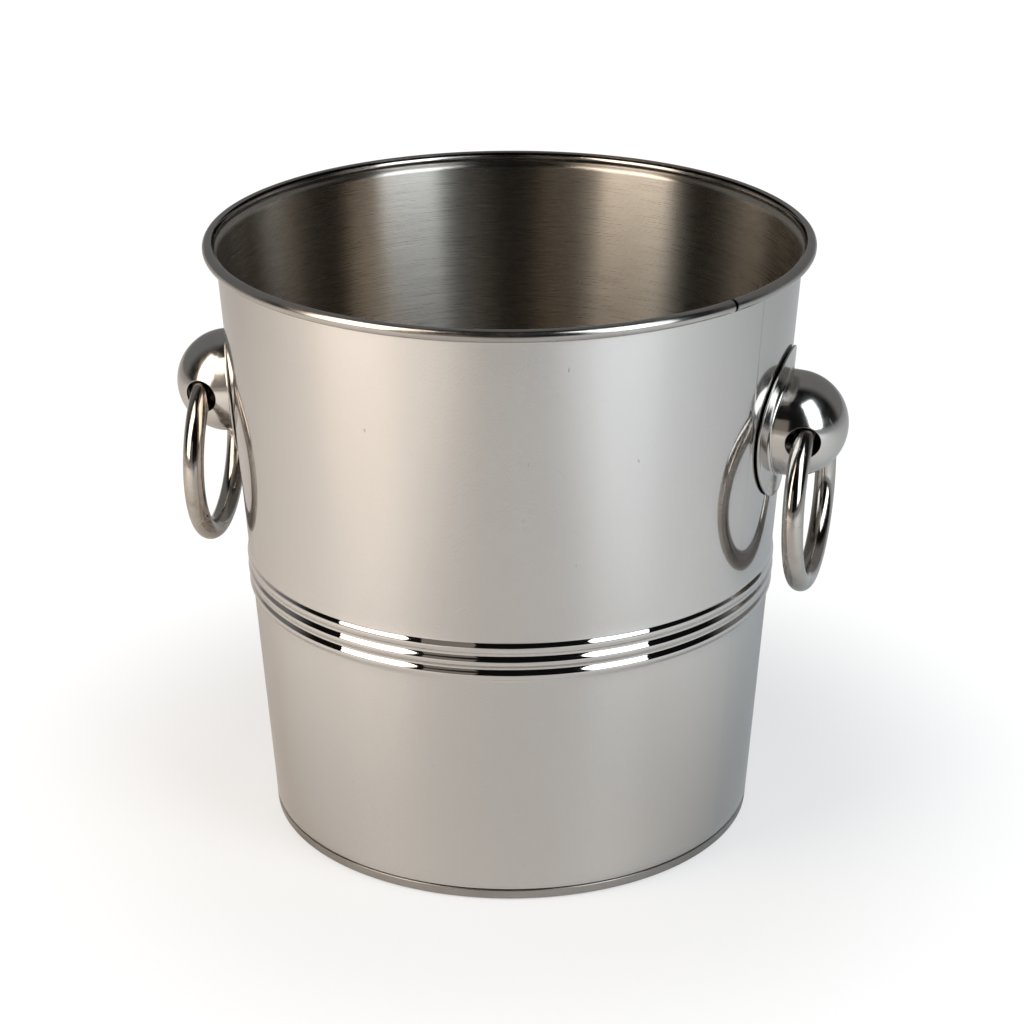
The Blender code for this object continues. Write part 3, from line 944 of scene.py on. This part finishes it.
def make_nut(word, place, finish):
    """A hexagon nut with chamfered corners and a clear bore."""
    shape = bmesh.new()
    loops = []
    for level in ("bore low", "rim low", "side low", "side high", "rim high", "bore high"):
        loop = []
        for i in range(NUT_STEPS):
            a = 2 * pi * i / NUT_STEPS
            hexagon = NUT_FLAT / cos((a + pi / 6) % (pi / 3) - pi / 6)
            drop = max(0.0, (hexagon - NUT_FLAT) / (NUT_CORNER - NUT_FLAT)) * NUT_CHAMFER
            reach = {"bore": NUT_BORE, "rim": NUT_FLAT - 0.05, "side": hexagon}[level.split()[0]]
            height = NUT_LOW if "low" in level else NUT_HIGH
            if "side" in level:
                height += drop + 0.08 if "low" in level else -drop - 0.08
            loop.append(shape.verts.new((reach * cos(a) * MM, reach * sin(a) * MM, height * MM)))
        loops.append(loop)
    for here, after in zip(loops, loops[1:] + loops[:1]):
        for i in range(NUT_STEPS):
            j = (i + 1) % NUT_STEPS
            shape.faces.new((here[i], here[j], after[j], after[i]))
    bmesh.ops.recalc_face_normals(shape, faces=shape.faces[:])
    shape.transform(place)
    mesh = kept_mesh("nut", shape)
    return settle("hexagon_nut_" + word, mesh, finish, "bucket", ["nut_" + word], 25.0)


# ---------------------------------------------------------------------------
# Floor, light and camera
# ---------------------------------------------------------------------------


def make_floor():
    """A pale floor, lit by the lamps round the bucket and plain white to the camera further out.

    It also glows faintly, warm on the left and cool on the right.
    """
    shape = bmesh.new()
    bmesh.ops.create_circle(shape, cap_ends=True, segments=96, radius=FLOOR_RADIUS)
    mesh = kept_mesh("floor", shape)
    floor = put_in_scene("floor", mesh)
    material, tree, shader = new_finish("Pale floor", FLOOR_PALE, 0.85, 0.0)
    inputs = {0: object_point(tree)}
    reach = add(tree, "ShaderNodeVectorMath", inputs, operation="LENGTH").outputs["Value"]
    white = remap(tree, reach, 0.11, 0.26, 0.56, 1.0)
    seen = add(tree, "ShaderNodeLightPath").outputs["Is Camera Ray"]
    inputs = {0: object_point(tree), 1: around_camera(90, 1.0, 0.0)}
    lean = add(tree, "ShaderNodeVectorMath", inputs, operation="DOT_PRODUCT").outputs["Value"]
    left = remap(tree, lean, -0.26, -0.06, 0.36, 0.03)
    right = remap(tree, lean, 0.08, 0.26, 0.0, 0.28)
    tree.links.new(maths(tree, "ADD", left, right), shader.inputs["Emission Strength"])
    warm_to_cool = remap(tree, lean, -0.15, 0.15, 0.0, 1.0)
    colour = tint(tree, warm_to_cool, WARM_FLOOR, COOL)
    tree.links.new(colour, shader.inputs["Emission Color"])
    glow = add(tree, "ShaderNodeEmission", {"Color": WHITE, "Strength": WHITE_GLOW})
    blend = maths(tree, "MULTIPLY", white, seen)
    inputs = {"Fac": blend, 1: shader.outputs[0], 2: glow.outputs[0]}
    both = add(tree, "ShaderNodeMixShader", inputs)
    tree.links.new(both.outputs[0], tree.nodes["Material Output"].inputs["Surface"])
    mesh.materials.append(material)


def around_camera(angle, distance, height):
    """A point round the bucket, its angle counted from the camera, positive to the right."""
    a = radians(CAMERA_AZIMUTH + angle)
    return Vector((sin(a) * distance, -cos(a) * distance, height))


def soft_box(name, place, width, tall, glow, colour):
    """A rectangular soft light that faces the bucket, of a given brightness."""
    light = bpy.data.lights.new(name, "AREA")
    light.shape = "RECTANGLE"
    light.size, light.size_y = width, tall
    light.energy = glow * pi * width * tall
    light.color = colour
    lamp = put_in_scene(name, light)
    lamp.location = place
    lamp.rotation_euler = (LIGHT_AIM - place).to_track_quat("-Z", "Y").to_euler()


def make_lights():
    """A warm box and a dim low strip on the left, a cool box on the right, gaps between."""
    soft_box("warm_box", around_camera(-57, 0.75, 0.56), 0.50, 0.9, 4.8, WARM_LAMP)
    soft_box("warm_strip", around_camera(-25, 1.0, 0.34), 0.38, 0.46, 0.26, WARM_STRIP)
    soft_box("cool_box", around_camera(44, 0.78, 0.58), 0.42, 0.9, 4.8, COOL)


def make_world():
    """Grey behind the bucket and nearly dark on the camera's side. The camera sees white."""
    world = bpy.data.worlds.new("Studio")
    bpy.context.scene.world = world
    world.use_nodes = True
    tree = world.node_tree
    tree.nodes.clear()
    way = add(tree, "ShaderNodeTexCoord").outputs["Generated"]
    inputs = {0: way, 1: around_camera(0, 1.0, 0.0)}
    towards = add(tree, "ShaderNodeVectorMath", inputs, operation="DOT_PRODUCT").outputs["Value"]
    glow = remap(tree, towards, -0.35, 0.0, 0.22, 0.006)
    dim = add(tree, "ShaderNodeBackground", {"Color": WHITE, "Strength": glow})
    pale = add(tree, "ShaderNodeBackground", {"Color": WHITE, "Strength": WHITE_GLOW})
    seen = add(tree, "ShaderNodeLightPath").outputs["Is Camera Ray"]
    both = add(tree, "ShaderNodeMixShader", {"Fac": seen, 1: dim.outputs[0], 2: pale.outputs[0]})
    add(tree, "ShaderNodeOutputWorld", {"Surface": both.outputs[0]})


def make_camera():
    """A long lens in front, a little to the right, that looks down into the mouth."""
    a, e = radians(CAMERA_AZIMUTH), radians(CAMERA_ELEVATION)
    back = Vector((sin(a) * cos(e), -cos(a) * cos(e), sin(e)))
    data = bpy.data.cameras.new("camera")
    data.lens = CAMERA_LENS
    data.shift_x, data.shift_y = CAMERA_SHIFT
    data.clip_start = CAMERA_NEAREST
    camera = put_in_scene("camera", data)
    camera.rotation_mode = "QUATERNION"
    camera.location = CAMERA_AIM + back * CAMERA_DISTANCE
    roll = Quaternion((0, 0, 1), radians(CAMERA_ROLL))
    camera.rotation_quaternion = (-back).to_track_quat("-Z", "Y") @ roll
    bpy.context.scene.camera = camera


make_camera()
make_floor()
make_lights()
make_world()
bpy.context.scene.view_settings.view_transform = "Standard"

make_wall(make_sheet_finish(), make_inside_finish())
make_rim(make_rim_finish())
make_base_pan(make_pan_finish())
plate_finish = make_knob_finish("Mirror plate steel", dull=0.02)
knob_finish = make_knob_finish("Mirror knob steel")
wire_finish = make_wire_finish()
fixing_finish = make_fixing_finish()
rubber_finish = make_rubber_finish()
for side, word in SIDES:
    make_back_plate(side, word, plate_finish)
    make_knob(side, word, knob_finish)
    make_ring(side, word, wire_finish)
    make_fixings(side, word, fixing_finish, rubber_finish)
